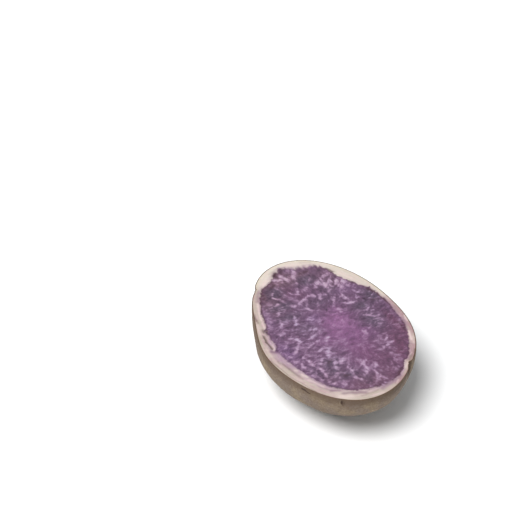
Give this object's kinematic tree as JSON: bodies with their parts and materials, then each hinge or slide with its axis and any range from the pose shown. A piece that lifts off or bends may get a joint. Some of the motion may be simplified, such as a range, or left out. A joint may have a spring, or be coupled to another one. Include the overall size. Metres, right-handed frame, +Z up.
{
  "type": "purple potato half",
  "caption": "Half of a long oval purple-fleshed potato, cut lengthwise and lying on its rounded back with the marbled cut face up; tan skin with eyes.",
  "frame": {"origin": "under the middle of the bounding box, on the surface that the half rests on", "axes": "+Z up, square to the cut face; +Y along the tuber, from the blunt end with most eyes to the stem end; +X across the tuber"},
  "size_m": [0.0588, 0.0824, 0.0245],
  "materials": {
    "skin": "matte, with fine pores and a light russet net",
    "cut_flesh": "moist satin, marbled purple within a pale ring"
  },
  "bodies": {
    "root": {"potato_half": "skin"}
  },
  "joints": []
}
